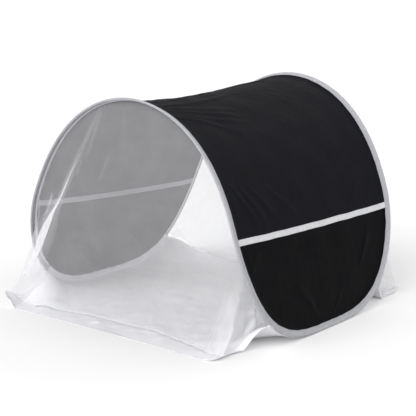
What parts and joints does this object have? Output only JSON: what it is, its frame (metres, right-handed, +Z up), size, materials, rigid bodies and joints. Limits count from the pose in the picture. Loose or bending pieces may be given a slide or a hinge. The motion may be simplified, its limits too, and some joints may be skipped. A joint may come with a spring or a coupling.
{
  "type": "bed tent",
  "caption": "Saddle-shaped pop-up tent for the head of a bed: black cloth canopy on one sprung hoop, sheer nets at both ends, white base sheet.",
  "frame": {"origin": "on the floor, midway between the hoop's feet and midway between the front and rear ends of the base sheet", "axes": "+Z up; +Y from the front opening to the rear one, along the bed; +X to the right as seen from the front opening"},
  "size_m": [0.8568, 0.95, 0.6653],
  "materials": {
    "spring_steel": "drawn wire",
    "black_canopy_cloth": "matt woven polyester",
    "grey_binding_tape": "folded binding tape",
    "light_seam_tape": "flat sewn tape",
    "white_sheer_net": "sheer knitted net",
    "white_base_sheet": "thin woven polyester",
    "white_tape": "folded hem tape"
  },
  "bodies": {
    "root": {"hoop_wire": "spring_steel", "hoop_ferrule": "spring_steel", "hoop_binding_front": "grey_binding_tape", "hoop_binding_rear": "grey_binding_tape", "canopy_crown": "black_canopy_cloth", "canopy_side_left": "black_canopy_cloth", "canopy_side_right": "black_canopy_cloth", "seam_tape_outer_left": "light_seam_tape", "seam_tape_outer_right": "light_seam_tape", "seam_tape_inner_left": "light_seam_tape", "seam_tape_inner_right": "light_seam_tape", "net_front": "white_sheer_net", "net_rear": "white_sheer_net", "net_edge_tape_front": "white_tape", "net_edge_tape_rear": "white_tape", "net_hem_front": "white_tape", "net_hem_rear": "white_tape", "base_sheet": "white_base_sheet", "base_hem_front": "white_tape", "base_hem_rear": "white_tape", "tie_loop_front_left": "white_tape", "tie_loop_front_right": "white_tape", "tie_loop_rear_left": "white_tape", "tie_loop_rear_right": "white_tape"}
  },
  "joints": []
}
